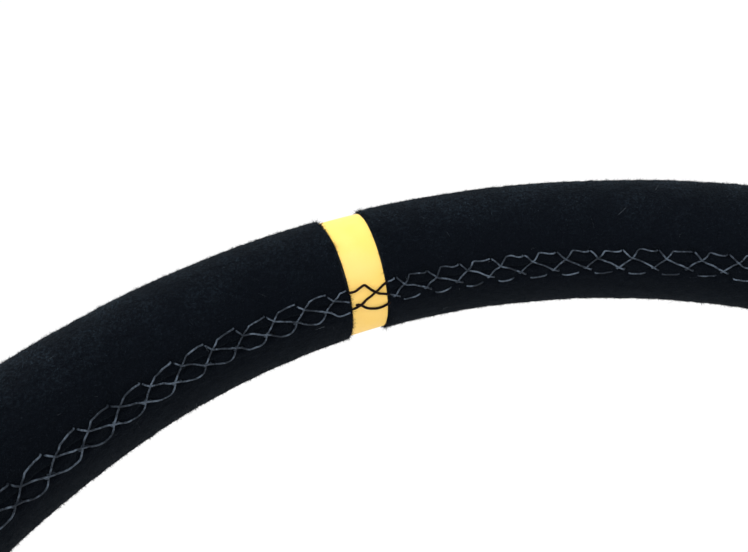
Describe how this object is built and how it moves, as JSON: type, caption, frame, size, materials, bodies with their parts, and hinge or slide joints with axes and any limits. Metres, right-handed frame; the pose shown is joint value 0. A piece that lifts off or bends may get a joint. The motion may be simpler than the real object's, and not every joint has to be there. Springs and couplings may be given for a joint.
{
  "type": "quick release steering wheel",
  "caption": "Dished three-spoke racing wheel with a stitched suede grip and yellow centre marker, on a ball-lock quick release with a splined weld-on column spindle and a horn button.",
  "frame": {"origin": "centre of the mouth of the column bore, where the spindle is welded onto the column tube", "axes": "+Z towards twelve o'clock on the wheel, -Y towards the driver along the steering axis, +X to the driver's right; the column tube leaves along +Y"},
  "size_m": [0.35, 0.146, 0.3499],
  "materials": {
    "suede": "matte",
    "marker_leather": "matte",
    "thread_grey": "matte",
    "thread_black": "matte",
    "grip_foam": "matte",
    "ring_steel": "satin",
    "black_anodised": "satin",
    "machined_aluminium": "satin",
    "plated_steel": "satin",
    "spring_steel": "satin",
    "ball_steel": "polished",
    "black_steel": "satin",
    "black_plastic": "matte",
    "gloss_black_plastic": "gloss",
    "contact_brass": "satin",
    "nitrile_rubber": "matte"
  },
  "bodies": {
    "column_side": {"column_spindle": "plated_steel", "spindle_o_ring": "nitrile_rubber"},
    "wheel": {"locking_sleeve": "plated_steel", "sleeve_circlip": "spring_steel", "sleeve_screws": "black_steel", "wheel_boss": "machined_aluminium", "wheel_bolts": "black_steel", "trim_ring": "black_anodised", "spoke_plate": "black_anodised", "rim_core": "ring_steel", "rim_foam": "grip_foam", "centre_marker": "marker_leather", "marker_thread": "thread_black", "horn_housing": "black_plastic", "horn_fixed_contact": "contact_brass", "horn_spring_seat": "contact_brass", "horn_terminals": "contact_brass", "horn_spring": "spring_steel", "collar_spring": "spring_steel", "suede_upper_left": "suede", "suede_upper_right": "suede", "suede_lower_left": "suede", "suede_lower_right": "suede", "seam_thread_upper_left": "thread_grey", "seam_thread_upper_right": "thread_grey", "seam_thread_lower_left": "thread_grey", "seam_thread_lower_right": "thread_grey"},
    "collar": {"release_collar": "black_anodised"},
    "horn_button": {"horn_cap": "gloss_black_plastic", "horn_moving_contact": "contact_brass"},
    "lock_ball_1": {"lock_ball_1": "ball_steel"},
    "lock_ball_2": {"lock_ball_2": "ball_steel"},
    "lock_ball_3": {"lock_ball_3": "ball_steel"},
    "lock_ball_4": {"lock_ball_4": "ball_steel"},
    "lock_ball_5": {"lock_ball_5": "ball_steel"},
    "lock_ball_6": {"lock_ball_6": "ball_steel"}
  },
  "joints": [
    {"name": "wheel_pull_off", "type": "slide", "parent": "column_side", "child": "wheel", "axis": [0, -1, 0], "range_m": [0, 0.045]},
    {"name": "collar_slide", "type": "slide", "parent": "wheel", "child": "collar", "axis": [0, 1, 0], "range_m": [0, 0.008], "stiffness_N_per_m": 1200, "springref_m": 0.014, "deforming": ["collar_spring"]},
    {"name": "horn_press", "type": "slide", "parent": "wheel", "child": "horn_button", "axis": [0, 1, 0], "range_m": [0, 0.0025], "stiffness_N_per_m": 400, "springref_m": -0.003, "deforming": ["horn_spring"]},
    {"name": "lock_ball_1_slide", "type": "slide", "parent": "wheel", "child": "lock_ball_1", "axis": [0, 0, -1], "range_m": [0, 0.0018]},
    {"name": "lock_ball_2_slide", "type": "slide", "parent": "wheel", "child": "lock_ball_2", "axis": [0.866, 0, -0.5], "range_m": [0, 0.0018]},
    {"name": "lock_ball_3_slide", "type": "slide", "parent": "wheel", "child": "lock_ball_3", "axis": [0.866, 0, 0.5], "range_m": [0, 0.0018]},
    {"name": "lock_ball_4_slide", "type": "slide", "parent": "wheel", "child": "lock_ball_4", "axis": [0, 0, 1], "range_m": [0, 0.0018]},
    {"name": "lock_ball_5_slide", "type": "slide", "parent": "wheel", "child": "lock_ball_5", "axis": [-0.866, 0, 0.5], "range_m": [0, 0.0018]},
    {"name": "lock_ball_6_slide", "type": "slide", "parent": "wheel", "child": "lock_ball_6", "axis": [-0.866, 0, -0.5], "range_m": [0, 0.0018]}
  ],
  "couplings": [
    {"joint": "lock_ball_1_slide", "follows": "collar_slide", "ratio": 0.225},
    {"joint": "lock_ball_2_slide", "follows": "collar_slide", "ratio": 0.225},
    {"joint": "lock_ball_3_slide", "follows": "collar_slide", "ratio": 0.225},
    {"joint": "lock_ball_4_slide", "follows": "collar_slide", "ratio": 0.225},
    {"joint": "lock_ball_5_slide", "follows": "collar_slide", "ratio": 0.225},
    {"joint": "lock_ball_6_slide", "follows": "collar_slide", "ratio": 0.225}
  ]
}
